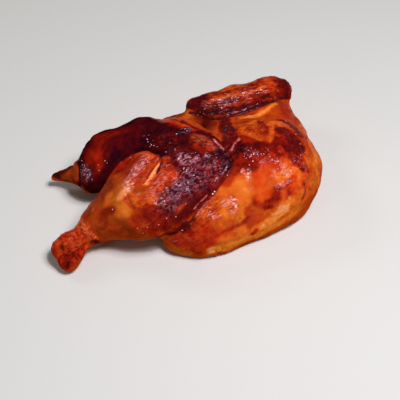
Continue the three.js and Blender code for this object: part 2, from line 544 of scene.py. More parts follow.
patches = {
    "breast": [
        # the ground, and where it is paler
        dab([(205, 228), (240, 205), (270, 185), (295, 180)], 16, 30, roast=0.38, warm=0.5, wet=0.2,
            crisp=0.22),
        dab([(250, 185), (236, 190), (228, 200)], 7, 16, roast=0.27, warm=0.42, wet=0.12, crisp=0.05),
        dab([(225, 213), (240, 212), (254, 198)], 5, 11, roast=0.28, warm=0.25),
        dab([(230, 223), (245, 226)], 3, 9, roast=0.33, warm=0.0),
        # the dark patch below the shoulder
        dab([(238, 160), (250, 153), (265, 149), (285, 146), (296, 150)], 7, 13, roast=0.78, warm=1.0,
            wet=0.03, crisp=0.4),
        dab([(234, 141), (241, 146), (237, 153)], 3.5, 8, roast=0.86, warm=0.9, crisp=0.8),
        dab([(248, 150), (254, 155), (251, 162)], 1.5, 5, roast=0.78, warm=0.95, wet=0.9, crisp=1.0),
        dab([(236, 165), (232, 173), (226, 181)], 2, 6, roast=0.56, warm=0.85),
        dab([(256, 160), (266, 158), (274, 156)], 1.5, 4, roast=0.58, warm=0.95),
        # towards the neck: orange skin with dark arcs, pale low down
        dab([(290, 172), (297, 182), (288, 195)], 6, 13, roast=0.35, warm=0.9, wet=0.15, crisp=0.4),
        dab([(294, 169), (298, 175)], 1, 4.5, roast=0.26, warm=0.7),
        dab([(286, 171), (280, 177)], 2, 6, roast=0.27, warm=0.6),
        dab([(275, 165), (279, 168)], 1, 4, roast=0.48, warm=0.9, wet=0.1),
        dab([(280, 150), (290, 157), (296, 163)], 1.5, 4, roast=0.56, warm=1.0, wet=0.6, crisp=0.9),
        dab([(292, 155), (299, 161), (303, 168)], 2, 4.5, roast=0.66, warm=1.0, wet=0.7, crisp=0.9),
        dab([(276, 190), (283, 186), (289, 182)], 0.5, 3, roast=0.66, warm=1.0, wet=0.5, crisp=1.0),
        dab([(287, 189), (290, 194), (289, 199)], 0, 4.5, roast=0.66, warm=0.95),
        dab([(275, 197), (283, 203), (280, 208)], 1.5, 4.5, roast=0.36, warm=0.7),
        dab([(257, 202), (265, 202), (276, 197)], 0, 8, roast=0.68, warm=0.95),
        dab([(262, 198), (270, 200)], 0, 3, roast=0.74, warm=1.0, crisp=0.8),
        dab([(266, 208), (272, 206)], 0, 3.5, roast=0.64, warm=0.9, crisp=0.8),
        dab([(250, 212), (257, 219), (251, 226)], 2, 6, roast=0.47, warm=0.6),
        dab([(258, 233), (269, 224), (280, 213), (291, 203)], 3, 8, roast=0.2, warm=0.2, crisp=0.4),
        dab([(270, 221), (276, 215), (284, 208)], 0, 4, roast=0.14, warm=0.2),
        dab([(272, 224), (281, 215)], 0, 3.5, roast=0.15, warm=0.1),
        # the rim at the neck
        dab([(296, 205), (303, 196)], 3, 7, roast=0.38, warm=0.35),
        dab([(300, 145), (306, 156), (311, 168), (313, 180)], 3, 6.5, roast=0.42, warm=0.4, wet=0.02,
            crisp=0.5),
        dab([(296, 120), (303, 132), (309, 145)], 1, 4, roast=0.58, warm=0.6, wet=0.02, crisp=0.8),
        dab([(312, 160), (317, 172), (318, 186)], 1.5, 4.5, roast=0.4, warm=0.15, wet=0.0, crisp=0.3),
        dab([(309, 143), (314, 153), (316, 160)], 1, 4, roast=0.34, warm=0.0),
        dab([(313, 163), (317, 174), (318, 184)], 0, 2, roast=0.32, warm=0.0),
        dab([(295, 110), (305, 126), (313, 142), (320, 160), (322, 178)], 3, 7, roast=0.42, warm=0.2,
            wet=0.0, crisp=0.3),
        dab([(292, 107), (294, 113), (299, 120), (303, 127), (306, 135), (310, 143), (315, 151),
             (319, 161)], 0.6, 2.6, roast=0.35, warm=0.1),
        dab([(297, 150), (303, 160), (308, 172)], 0.4, 2, roast=0.6, warm=0.8),
        dab([(302, 160), (305, 170)], 0, 3, roast=0.6, warm=0.7),
        dab([(304, 183), (305, 190), (302, 198)], 0.3, 2.6, roast=0.62, warm=0.3),
        dab([(315, 180), (312, 190)], 2, 5, roast=0.42, warm=0.0),
        # towards the leg, and along the keel
        dab([(200, 226), (212, 223), (226, 228)], 4, 9, roast=0.42, warm=0.45),
        dab([(180, 243), (195, 240), (206, 237), (192, 250)], 4, 11, roast=0.56, warm=0.95, crisp=0.4),
        dab([(176, 250), (188, 255)], 2, 7, roast=0.42, warm=0.05),
        dab([(222, 242), (240, 238), (256, 231)], 3, 6, roast=0.3, warm=0.4),
        dab([(230, 245), (240, 242), (248, 239)], 0.5, 5.5, roast=0.18, warm=0.1),
        dab([(211, 250), (221, 248)], 0.5, 5, roast=0.2, warm=0.0),
        dab([(205, 241), (214, 238), (225, 232), (238, 226), (248, 222)], 0, 2.4, roast=0.54, warm=0.9),
        # painted shade beside the drumstick's edge
        dab([(214, 203), (205, 213), (197, 222), (190, 233)], 2, 8, roast=0.58, warm=0.7, wet=0.2,
            crisp=0.5),
        dab([(189, 226), (194, 219)], 0, 4, roast=0.72, warm=0.2),
        dab([(186, 229), (192, 233)], 1, 4, roast=0.69, warm=1.0, wet=0.0),
        dab([(253, 233), (256, 230)], 0.8, 3, roast=0.6, warm=0.9),
        dab([(244, 222), (248, 219)], 0.8, 3, roast=0.58, warm=0.9),
        dab([(210, 253), (216, 251), (223, 251)], 0.2, 2.8, roast=0.16, warm=0.0, wet=0.0, crisp=1.0),
        dab([(226, 250), (240, 244), (256, 237), (272, 228), (284, 221)], 0, 4, roast=0.26, warm=0.1,
            wet=0.0),
        dab([(266, 228), (282, 221), (298, 212)], 0, 7, roast=0.26, warm=0.1),
        # wet spots, painted paler as highlights, and smooth skin painted as a soft highlight
        dab([(222, 202), (231, 200), (233, 211)], 2, 6, roast=0.32, warm=0.5, wet=0.5, crisp=0.6),
        dab([(243, 170), (247, 175)], 1, 3, roast=0.3, wet=0.9, crisp=1.0),
        dab([(258, 184), (262, 194)], 3, 9, roast=0.34, warm=0.8, wet=0.0, crisp=0.0),
        dab([(257, 174), (265, 171)], 3, 9, roast=0.36, warm=0.85, wet=0.0, crisp=0.0),
        dab([(263, 165)], 1, 6, roast=0.46, warm=1.0, fat=0.2),
        dab([(243, 161), (252, 165)], 3, 7, roast=0.7, warm=1.0, wet=0.0, crisp=0.4),
        dab([(276, 161), (283, 166), (288, 171), (285, 175)], 1, 3.5, wet=0.8, crisp=1.0),
        dab([(203, 206), (212, 197), (202, 216)], 2, 6, roast=0.44, warm=0.6, wet=0.5, crisp=0.8),
        # the shoulder
        dab([(238, 126), (255, 127), (272, 122)], 7, 12, roast=0.44, warm=0.35, wet=0.06, crisp=0.9),
        dab([(284, 106), (293, 113), (290, 120)], 4, 9, roast=0.55, warm=0.6, wet=0.02),
        dab([(240, 138), (250, 140)], 2, 5, roast=0.64, warm=0.85),
        dab([(262, 128), (266, 134), (268, 139)], 1, 6, roast=0.5, warm=0.5),
        dab([(246, 134), (256, 137), (262, 138)], 1, 4, roast=0.46, warm=0.4),
        dab([(261, 121), (264, 126), (267, 131)], 1, 3.5, roast=0.66, warm=0.6),
        dab([(246, 122), (252, 131)], 1, 3, roast=0.54, warm=0.5),
        dab([(280, 131), (286, 133), (293, 139), (297, 147)], 4, 9, roast=0.79, warm=1.0, wet=0.12,
            crisp=0.5),
        dab([(289, 125), (295, 130)], 1, 4, roast=0.82, warm=1.0, wet=0.02),
        dab([(272, 126), (272, 132), (270, 140)], 0.6, 3, roast=0.4, warm=0.4),
        dab([(282, 121), (291, 126), (299, 135)], 2, 5.5, roast=0.76, warm=0.95, crisp=0.6),
        # under the wing, and the dark flap
        dab([(230, 116), (245, 113), (258, 110)], 1.2, 3, roast=0.48, warm=0.7),
        dab([(241, 118), (252, 117), (262, 113)], 1.2, 3.2, roast=0.22, warm=0.1, wet=0.0, crisp=0.7),
        dab([(260, 113), (268, 109), (276, 104)], 0.4, 2.8, roast=0.26, warm=0.15, wet=0.0, crisp=0.7),
        dab([(223, 122), (228, 130), (230, 140), (227, 149)], 3, 7, roast=0.82, warm=1.0, wet=0.25,
            crisp=0.9),
        dab(breastLine, 0.2, 1.1, roast=0.55, warm=0.8, fat=0.3),
    ],
    "wing": [
        # the ground, both ends and the edges
        dab([(192, 107), (215, 104), (240, 98), (265, 90), (285, 88)], 12, 20, roast=0.62, warm=0.5,
            wet=0.1, crisp=0.85),
        dab([(225, 89), (240, 85), (254, 81)], 1, 3, roast=0.48, warm=0.5),
        dab([(248, 86), (256, 84)], 0.6, 2, roast=0.8, warm=0.6),
        dab([(188, 106), (198, 101)], 6, 11, roast=0.9, warm=0.95, wet=0.05, crisp=0.5),
        dab([(256, 92), (264, 88), (268, 82)], 3.5, 7, roast=0.46, warm=0.7),
        dab([(282, 82), (287, 88), (285, 96)], 3.5, 10, roast=0.81, warm=1.0, wet=0.05, crisp=0.3),
        dab([(276, 81), (280, 84)], 1, 3, roast=0.84, warm=0.6),
        dab([(205, 110), (215, 112), (228, 111), (245, 108), (258, 104)], 2.5, 5, roast=0.9, warm=0.85,
            wet=0.6),
        # painted shade in the valley before the crease
        dab([(256, 101), (270, 97)], 1.5, 3.5, roast=0.76, warm=0.8),
        dab([(208, 104), (222, 102), (235, 98), (250, 95), (262, 90)], 2.5, 5.5, roast=0.69, warm=0.55,
            wet=0.5),
        # dark and pale streaks along it
        dab([(206, 98), (218, 95), (230, 91)], 0.2, 1.8, roast=0.72),
        dab([(214, 106), (226, 103), (238, 100)], 0.2, 1.8, roast=0.86),
        dab([(236, 92), (248, 90), (258, 86)], 0.2, 1.8, roast=0.72),
        dab([(210, 101), (224, 97), (238, 93)], 0.6, 2.4, roast=0.44, warm=0.4),
        dab([(222, 92), (234, 88), (246, 86)], 0.6, 2.4, roast=0.46, warm=0.3),
        dab([(242, 95), (254, 91), (264, 87)], 0.6, 2.4, roast=0.42, warm=0.4),
    ],
    "lobe": [
        dab([(175, 115), (190, 117), (203, 121)], 8, 14, roast=0.57, warm=0.05, wet=0.0, crisp=0.05),
        dab([(180, 112), (190, 113)], 1, 4, roast=0.38, warm=0.0),
        # painted shade under the wing tip, darkest in the hole below it
        dab([(203, 119), (207, 124), (208, 129)], 2, 9, roast=0.74, warm=0.3),
        dab([(206, 116), (206, 122), (204, 127)], 1.5, 4, roast=0.86, warm=0.5),
        dab([(213, 129), (216, 124)], 0.6, 3, roast=0.6, warm=0.1),
        dab([(217, 117), (221, 121), (220, 128)], 0.6, 2, roast=0.9, warm=0.5),
    ],
    "thigh": [
        # nearly black, and redder near the edges
        dab([(100, 150), (125, 135), (150, 132), (175, 142), (195, 152)], 18, 38, roast=0.92, warm=1.0,
            wet=0.0, crisp=0.25),
        dab([(94, 156), (98, 161), (100, 167)], 0, 14, roast=0.58, warm=1.0, crisp=0.1),
        dab([(84, 172), (90, 180)], 3, 7, roast=0.86, warm=0.95, wet=0.7, crisp=0.9),
        dab([(95, 143), (110, 134), (122, 130)], 3, 7, roast=0.76, warm=1.0),
        # painted shade in the crease against the drumstick
        dab([(128, 147), (118, 157), (108, 172), (98, 188)], 2, 7, roast=0.94, wet=0.0, crisp=0.1),
        dab([(156, 119), (168, 121), (180, 124), (192, 129)], 0.5, 6, roast=0.52, warm=0.95, wet=0.1,
            crisp=0.4),
        dab([(168, 119), (178, 122), (187, 125)], 0.4, 3, roast=0.44, warm=0.8),
        dab([(147, 124), (157, 122)], 2, 5, roast=0.98),
        dab([(165, 138), (175, 145), (182, 150)], 3, 8, roast=0.88, warm=1.0, wet=0.06, crisp=0.8),
        dab([(180, 134), (187, 130)], 1.6, 4.5, roast=0.95, wet=0.4, crisp=0.9),
        # where it meets the breast
        dab([(197, 140), (205, 143), (213, 148), (218, 154)], 4, 8, roast=0.76, warm=0.85, wet=0.2,
            crisp=0.9),
        dab([(195, 137), (204, 142), (212, 147)], 1.5, 5.5, roast=0.6, warm=0.3, wet=0.12, crisp=0.9),
        dab([(209, 147), (213, 149)], 0.5, 4, roast=0.46, warm=0.5),
        dab([(190, 152), (198, 159), (207, 161), (216, 160)], 2.5, 6, roast=0.9, warm=0.9, wet=0.55,
            crisp=1.0),
        dab([(195, 147), (201, 150), (208, 154)], 1, 4.5, roast=0.58, warm=0.9),
        dab(legCorner, 3, 6, roast=0.97, warm=0.9, wet=0.3, crisp=1.0),
        dab(thighLine, 0.2, 1.1, roast=0.55, warm=0.8, fat=0.3),
        # a painted shadow under the thigh
        dab([(86, 190), (92, 196)], 3, 9, roast=0.96, wet=0.0, crisp=0.1),
    ],
    "leg": [
        # the drumstick's dark side
        dab([(178, 198), (188, 189), (200, 174), (214, 168)], 4, 20, roast=0.84, warm=1.0, wet=0.45,
            crisp=1.0),
        dab([(165, 222), (180, 212), (195, 200), (212, 186)], 4, 11, roast=0.79, warm=1.0, wet=0.2,
            crisp=0.4),
        dab(legCorner, 3, 6, roast=0.97, warm=0.9, wet=0.3, crisp=1.0),
        dab([(145, 222), (155, 228), (150, 214)], 3, 8, roast=0.6, warm=1.0, wet=0.3, crisp=0.5),
        dab([(178, 210), (182, 206)], 1, 3, roast=0.5, warm=0.7),
        dab([(160, 236), (174, 231), (186, 223)], 1, 4, roast=0.8, warm=1.0),
        dab([(178, 154), (188, 162), (192, 170)], 5, 11, roast=0.84, warm=1.0, wet=0.35, crisp=1.0),
        dab([(182, 157), (188, 160), (196, 161)], 1.5, 5, roast=0.8, warm=0.7, wet=0.85, fat=0.8),
        dab([(203, 188), (207, 192)], 1, 4.5, roast=0.92, wet=0.1),
        dab([(165, 162), (167, 170), (172, 176)], 2, 6, roast=0.52, warm=0.9, wet=0.4, crisp=0.9),
        dab([(152, 214), (165, 217)], 3, 12, roast=0.76, warm=1.0),
    ],
    "knee": [
        # the drumstick's lit side, down to the ankle
        dab([(135, 170), (142, 158), (150, 155)], 6, 12, roast=0.56, warm=1.0, wet=0.3, crisp=0.4),
        dab([(118, 205), (108, 205), (98, 212)], 8, 17, roast=0.48, warm=0.05, wet=0.08, crisp=0.1),
        dab([(130, 158), (124, 166), (118, 174)], 2, 6, roast=0.62, warm=1.0),
        dab([(146, 161), (140, 168), (134, 177), (128, 188)], 3.5, 7, roast=0.51, warm=1.0, wet=1.0,
            crisp=1.0),
        dab([(138, 155), (147, 154), (151, 158)], 1.5, 4, roast=0.38, warm=0.85, wet=0.2),
        dab([(128, 187), (132, 183)], 1, 4, roast=0.36, warm=0.7),
        # the lit ridge of the shin: amber skin painted paler, a painted highlight
        dab([(120, 189), (119, 202), (123, 212)], 0, 12, roast=0.34, warm=0.0, wet=0.12, crisp=0.05),
        dab([(122, 190), (121, 202), (127, 213)], 0, 6, roast=0.3, warm=0.0),
        dab([(125, 165), (119, 173)], 1, 4.5, roast=0.67, warm=1.0),
        # a painted highlight on the shin
        dab([(120, 198), (123, 194), (127, 191)], 1, 4, roast=0.1, warm=0.0, fat=0.2),
        # painted shade in the fold below the pocket
        dab([(127, 199), (130, 204), (134, 207)], 0.8, 2.6, roast=0.6, warm=0.8),
        dab([(110, 184), (102, 196), (95, 207), (86, 218)], 1, 9, roast=0.58, warm=0.1),
        dab([(110, 195), (108, 202)], 1, 5, roast=0.38, warm=0.1),
        dab([(102, 214), (111, 210)], 0.5, 5.5, roast=0.66, warm=0.6),
        dab([(95, 226), (110, 229), (126, 229)], 5, 11, roast=0.56, warm=0.3),
        dab([(136, 222), (144, 224)], 2, 7, roast=0.5, warm=0.85),
        dab([(152, 217), (149, 207)], 0, 10, roast=0.68, warm=0.95),
        dab([(132, 198), (138, 202), (146, 196), (151, 198)], 2, 5.5, roast=0.4, warm=0.5, wet=0.2,
            crisp=0.5),
        dab([(158, 187), (162, 181), (152, 191)], 1, 6, roast=0.42, warm=0.8, wet=0.6, crisp=0.8),
        # the tear, with painted shade along both its edges
        dab([(158, 164), (154, 171), (150, 177), (145, 182)], 1.0, 3.2, roast=0.06, warm=0.15, wet=0.2,
            crisp=0.8),
        dab([(158, 160), (153, 167), (148, 174), (143, 182)], 0.2, 1.2, roast=0.62, warm=1.0),
        dab([(153, 180), (158, 176), (163, 170)], 0.5, 5, roast=0.42, warm=0.8, crisp=0.6),
        dab([(161, 161), (159, 166), (157, 171)], 0.3, 1.3, roast=0.85, warm=0.8),
        # the knuckle
        dab([(75, 236), (62, 243)], 8, 14, roast=0.5, warm=0.7, wet=0.15, crisp=0.8),
        dab([(80, 221), (85, 229), (91, 235), (96, 241)], 1, 3.5, roast=0.36, warm=0.6, wet=0.1,
            crisp=0.8),
        dab([(80, 226), (71, 229), (61, 236)], 1.5, 6, roast=0.38, warm=0.8),
        dab([(61, 247), (62, 250)], 0.6, 2.6, roast=0.64, warm=0.4),
        dab([(62, 261), (72, 262), (81, 253)], 2, 8, roast=0.64, warm=0.9, crisp=1.0),
        dab([(66, 267), (70, 262), (73, 257)], 0, 2.6, roast=0.78, warm=0.8),
        dab([(55, 240), (54, 248), (57, 256)], 0.4, 3, roast=0.66, warm=0.8),
        dab([(84, 249), (74, 256), (66, 261)], 0.2, 2.4, roast=0.68, warm=0.9),
        dab([(94, 241), (99, 243)], 1, 4, roast=0.72, warm=0.2),
    ],
    "tail": [
        dab([(78, 172), (58, 175)], 8, 14, roast=0.5, warm=0.25, wet=0.04, crisp=0.1),
        dab([(75, 168), (74, 180)], 0.5, 4, roast=0.54, warm=0.4),
        dab([(51, 176), (56, 174)], 1.5, 4, roast=0.92, warm=0.1),
        dab([(58, 170), (66, 166), (75, 163)], 0.4, 2.6, roast=0.84, warm=0.1),
        dab([(60, 180), (72, 185)], 0.4, 1.6, roast=0.4, warm=0.3),
    ],
    "bird": [
        # pale strokes along the wrinkles, painted highlights that are partly set grease, and painted shadow
        dab([(206, 105), (220, 101), (237, 96), (250, 91)], 0, 5, fat=0.12),
        dab([(145, 161), (139, 168), (133, 177), (128, 187)], 2, 6, fat=0.7),
        dab([(162, 175), (157, 183), (150, 190)], 1, 5, fat=0.4),
        dab([(168, 200), (180, 190), (195, 180), (208, 170)], 3, 12, fat=0.28),
        dab([(193, 208), (199, 201), (206, 195)], 0.1, 1.1, roast=0.4, fat=0.4),
        dab([(183, 131), (188, 130)], 1, 3, fat=0.3),
        dab([(194, 136), (204, 142), (212, 147)], 1, 5, fat=0.12),
        dab([(85, 168), (88, 176)], 0.5, 4, fat=0.35),
        # a painted shadow under the tail
        dab([(73, 187), (80, 190), (88, 194)], 1.5, 3, roast=0.92, warm=0.6),
        dab([(243, 171), (248, 172)], 1, 3, fat=0.8),
        dab([(283, 168), (288, 173)], 1, 4, fat=0.5),
        dab([(278, 186), (284, 184), (289, 181)], 0.5, 2.5, fat=0.4),
        dab([(227, 203), (231, 203), (233, 210)], 1, 4.5, fat=0.65),
        dab([(206, 203), (199, 214)], 1, 4, fat=0.2),
        dab([(82, 224), (88, 231), (94, 238)], 0.5, 3, fat=0.2),
        # behind
        dab([(-30, 55, 20), (0, 60, 22), (30, 62, 20)], 4, 14, roast=0.62, warm=0.8, crisp=0.5),
        dab([(-20, 62, 8), (20, 66, 8), (60, 66, 8)], 3, 9, roast=0.4, warm=0.2, crisp=0.1),
        dab([(98, -20, 24), (104, 0, 20), (104, 20, 18), (98, 36, 20)], 5, 14, roast=0.4, warm=0.15,
            wet=0.04, crisp=0.2),
        dab([(104, 4, 14), (103, 20, 20), (97, 34, 30)], 1, 6, roast=0.62, warm=0.7, crisp=0.4),
        # painted shade at the bottoms of the creases, and a painted shadow under the thigh
        dab([(232, 167), (226, 176), (219, 186), (211, 196), (203, 204), (196, 213), (190, 223),
             (183, 232)], 0.2, 1.4, roast=0.8, warm=0.9, wet=0.1),
        dab([(122, 160), (126, 156), (131, 153), (138, 150), (148, 149)], 0.8, 2.2, roast=0.98, wet=0.0),
        dab(underWing[:-1], 0.5, 1.8, roast=0.9, warm=0.8, wet=0.2),
        dab([(165, 117), (175, 119), (184, 121), (192, 125), (200, 129), (209, 133)], 0.4, 1.5, roast=0.8,
            warm=0.8, wet=0.1),
        dab([(79, 161), (78, 170), (79, 180)], 0.5, 2, roast=0.95, wet=0.1),
        dab([(79, 184), (84, 190)], 0.5, 4, roast=0.9, wet=0.0, crisp=0.2),
    ],
}
valleyShade = 0.12  # painted shade: how much darker the skin is made a millimetre down in a wrinkle, and paler a millimetre up
dryOnSides = (0.1, 0.7)     # how far skin faces up where the fat has run off, and where none has
unevenness = {      # of the dabs' edges
    "share": 0.34,      # of the reach
    "onSmooth": 0.3,    # how much of it is left where the skin isn't crisp
    "margin": 1.6,      # how far past the reach it may get, as a multiple
    "size": 4,          # mm
    "seed": 90,
}


def paintPatches(points, parts, settings, uneven, start):
    # later dabs lie over earlier ones
    values = {name: np.full(len(points), value) for name, value in start.items()}
    noise = cloud(points, uneven["size"] * mm, uneven["seed"])
    for part, group in settings.items():
        for pixels, full, reach, finish in group:
            path = pathOnSkin(pixels)
            near = closeTo(points, path, uneven["margin"] * reach * mm)
            onCrisp = (1 - uneven["onSmooth"]) * values["crisp"][near]
            edge = noise[near] * uneven["share"] * (uneven["onSmooth"] + onCrisp)
            distance = nearPath(points[near], path)[0] + edge * reach * mm
            weight = fade(distance, full * mm, reach * mm) * parts[part][near]
            for name, value in finish.items():
                values[name][near] += weight * (value - values[name][near])
    return values


def shapeSkin(obj):
    smoothPoints = readPoints(obj.data)
    normals = readNormals(obj.data)
    parts = findParts(smoothPoints, normals)
    values = paintPatches(smoothPoints, parts, patches, unevenness, bareSkin)
    bulk = lumpy(swell(smoothPoints, normals, swells), normals, lumps, values["crisp"])
    points, grainPlace, grainWay = wrinkle(bulk, normals, grains, wrinkles, values["crisp"])
    relief = np.einsum("ij,ij->i", points - bulk, normals) / mm
    points = swell(points, normals, creases, -1)
    points = raiseEdges(points, normals, skinEdges)
    held = fade(smoothPoints[:, 2], 0, flesh["floorBand"])[:, None]     # 1 on the cut side
    points = points * (1 - held) + smoothPoints * held
    points[:, 2] = np.maximum(points[:, 2], 0)
    writePoints(obj.data, points)
    # painted shade down in the wrinkles
    values["roast"] = values["roast"] - valleyShade * relief
    values["wet"] = values["wet"] * (1 - fade(normals[:, 2], *dryOnSides))
    return values, grainPlace, grainWay


def storeValues(mesh, values, grainPlace):
    for name, value in values.items():
        attribute = mesh.attributes.new(name, "FLOAT", "POINT")
        attribute.data.foreach_set("value", np.clip(value, 0, 1).astype(np.float32))
    attribute = mesh.attributes.new("grain", "FLOAT_VECTOR", "POINT")
    attribute.data.foreach_set("vector", grainPlace.astype(np.float32).ravel())


skinValues, grainPlace, grainWay = shapeSkin(bird)
storeValues(bird.data, skinValues, grainPlace)
print("skin shaped and painted")

# the skin's finish
yellowRamp = [(0.0, (0.86, 0.50, 0.26)), (0.2, (0.82, 0.23, 0.02)), (0.4, (0.50, 0.100, 0.008)),
              (0.6, (0.25, 0.030, 0.004)), (0.8, (0.085, 0.008, 0.002)), (1.0, (0.020, 0.003, 0.003))]
redRamp = [(0.0, (0.86, 0.42, 0.24)), (0.2, (0.82, 0.15, 0.014)), (0.4, (0.60, 0.044, 0.005)),
           (0.6, (0.32, 0.012, 0.003)), (0.8, (0.11, 0.004, 0.0035)), (1.0, (0.022, 0.002, 0.006))]
skinFinish = {
    # noises: scale per metre, detail, roughness, and the low and high that become -0.5 and 0.5
    "blotch": (95, 3, 0.5, 0.3, 0.7),
    "mottle": (280, 4, 0.6, 0.36, 0.64),
    "speckle": (900, 2, 0.5, 0.3, 0.7),
    "hue": (150, 2, 0.5, 0.2, 0.8),
    "patchy": (420, 2, 0.5, 0.4, 0.6),
    "grain": (1, 1, 0.5),           # in the grain's own places; a ridge lies where it is close to 0.5
    "ridge": (0.0, 0.16), "ridgeTop": (0.05, 0.13),     # how far from 0.5 the ridge and its top reach
    # how far each moves the roast, the warmth and the height
    "blotchRoast": 0.11, "mottleRoast": 0.14, "ridgeGrainAndShade": 0.17, "speckleRoast": 0.05, "hueWarm": 0.5,
    "ridgeHeight": -0.22, "mottleHeight": -0.05, "speckleHeight": 0.008,
    "onSmooth": 0.25,               # how much of the mottle is left where the skin isn't crisp
    "bump": 0.001,                  # metres for a height of 1
    "fleshBump": 0.8, "coatBump": 0.3,
    "meat": (0.62, 0.36, 0.20), "cutBand": (0.0001, 0.0006),    # colour, and metres above the cut side
    "dark": (0.70, 0.86),           # the roast where the specular tint and the painted sheen strokes turn bluer
    # colours of the pale ridge strokes, a painted highlight partly of set grease, on lighter and on dark
    # skin
    "fat": (0.82, 0.44, 0.36), "fatOnDark": (0.47, 0.27, 0.41),
    "fatCover": (0.8, 0.5),     # how far the patchy noise moves it, and its middle
    "sheen": (1.0, 0.5, 0.50), "sheenOnDark": (1.0, 0.45, 0.68), "specular": 0.32, "roughness": 0.3,
    "coatRoughness": 0.08, "coatCover": (0.7, 0.65),
    "subsurface": 0.08, "subsurfaceRadius": (0.003, 0.001, 0.0005),
}


def feed(tree, made, inputs):
    # by socket: a number, a colour or another node's output
    for name, value in inputs.items():
        socket = made.inputs[name]
        if isinstance(value, bpy.types.NodeSocket):
            tree.links.new(value, socket)
        elif socket.type == "RGBA":
            socket.default_value = (*value, 1)
        else:
            socket.default_value = value


def addNode(tree, kind, inputs=None, **settings):
    made = tree.nodes.new(kind)
    for name, value in settings.items():
        setattr(made, name, value)
    feed(tree, made, inputs or {})
    return made


def newMaterial(name):
    material = bpy.data.materials.new(name)
    material.use_nodes = True
    return material, material.node_tree, material.node_tree.nodes["Principled BSDF"]


def makeSkinMaterial(look):
    material, tree, shader = newMaterial("roastSkin")

    def combine(operation, *values, clamp=False):
        numbered = dict(enumerate(values))
        return addNode(tree, "ShaderNodeMath", numbered, operation=operation, use_clamp=clamp).outputs[0]

    def product(first, second, third):
        return combine("MULTIPLY", combine("MULTIPLY", first, second), third)

    def attribute(name, output="Fac"):
        return addNode(tree, "ShaderNodeAttribute", attribute_name=name).outputs[output]

    def noise(vector, scale, detail, roughness):
        inputs = {"Vector": vector, "Scale": scale, "Detail": detail, "Roughness": roughness}
        return addNode(tree, "ShaderNodeTexNoise", inputs).outputs["Fac"]

    def sharpened(value, low, high):
        inputs = {"Value": value, "From Min": low, "From Max": high, "To Min": -0.5, "To Max": 0.5}
        made = addNode(tree, "ShaderNodeMapRange", inputs, interpolation_type="SMOOTHSTEP")
        return made.outputs["Result"]

    def blend(factor, a, b):
        inputs = {"Factor": factor, "A": a, "B": b}
        return addNode(tree, "ShaderNodeMix", inputs, data_type="RGBA").outputs["Result"]

    def ramp(value, stops):
        made = addNode(tree, "ShaderNodeValToRGB", {"Fac": value})
        elements = made.color_ramp.elements
        while len(elements) < len(stops):
            elements.new(0.5)
        for element, (place, colour) in zip(elements, stops):
            element.position = place
            element.color = (*colour, 1)
        return made.outputs["Color"]

    place = addNode(tree, "ShaderNodeTexCoord").outputs["Object"]
    roast, warm, wet, crisp, fat = [attribute(name) for name in ("roast", "warm", "wet", "crisp", "fat")]
    blotch, mottle, speckle, hue, patchy = [
        sharpened(noise(place, *look[name][:3]), *look[name][3:])
        for name in ("blotch", "mottle", "speckle", "hue", "patchy")]
    fromHalf = combine("SUBTRACT", noise(attribute("grain", "Vector"), *look["grain"]), 0.5)
    fromRidge = combine("ABSOLUTE", fromHalf)
    ridge = sharpened(fromRidge, *look["ridge"])
    onRidge = combine("SUBTRACT", 0.5, sharpened(fromRidge, *look["ridgeTop"]))
    loose = combine("MULTIPLY_ADD", crisp, 1 - look["onSmooth"], look["onSmooth"])

    # colour: the roast, pale strokes along the tops of the ridges (painted highlights, partly set grease),
    # and meat on the cut side
    level = combine("MULTIPLY_ADD", blotch, look["blotchRoast"], roast)
    level = combine("ADD", level, product(mottle, look["mottleRoast"], loose))
    # the fibre grain, with the skin between its raised ridges painted darker as shade
    level = combine("ADD", level, product(ridge, look["ridgeGrainAndShade"], crisp))
    level = combine("ADD", level, product(speckle, look["speckleRoast"], loose), clamp=True)
    redness = combine("MULTIPLY_ADD", hue, look["hueWarm"], warm, clamp=True)
    colour = blend(redness, ramp(level, yellowRamp), ramp(level, redRamp))
    dark = combine("ADD", sharpened(roast, *look["dark"]), 0.5)
    fatAndSheenStrokes = combine("MULTIPLY", onRidge, combine("MULTIPLY_ADD", patchy, *look["fatCover"], clamp=True))
    colour = blend(combine("MULTIPLY", fatAndSheenStrokes, fat), colour, blend(dark, look["fat"], look["fatOnDark"]))
    up = addNode(tree, "ShaderNodeSeparateXYZ", {"Vector": place}).outputs["Z"]
    onCut = combine("SUBTRACT", 0.5, sharpened(up, *look["cutBand"]))

    # relief
    height = product(ridge, look["ridgeHeight"], crisp)
    height = combine("ADD", height, product(mottle, look["mottleHeight"], loose))
    height = combine("MULTIPLY_ADD", speckle, look["speckleHeight"], height)
    bumps = [
        addNode(tree, "ShaderNodeBump", {"Strength": strength, "Distance": look["bump"], "Height": height})
        for strength in (look["fleshBump"], look["coatBump"])]

    # a wet coat, which crisp skin has only on its ridges
    bared = combine("MULTIPLY", combine("SUBTRACT", 1.0, onRidge), crisp)
    coat = combine("MULTIPLY", wet, combine("MULTIPLY_ADD", patchy, *look["coatCover"]))
    feed(tree, shader, {
        "Base Color": blend(onCut, colour, look["meat"]),
        "Normal": bumps[0].outputs["Normal"],
        "Coat Normal": bumps[1].outputs["Normal"],
        "Coat Weight": combine("MULTIPLY", coat, combine("SUBTRACT", 1.0, bared), clamp=True),
        "Coat Roughness": look["coatRoughness"],
        "Roughness": look["roughness"],
        "Specular Tint": blend(dark, look["sheen"], look["sheenOnDark"]),
        "Specular IOR Level": combine("MULTIPLY", wet, look["specular"]),
        "Subsurface Weight": look["subsurface"],
        "Subsurface Radius": look["subsurfaceRadius"],
        "Subsurface Scale": 1.0,
    })
    return material


bird.data.materials.append(makeSkinMaterial(skinFinish))
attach(bird, "root")
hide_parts("half_chicken")
print("skin finished")
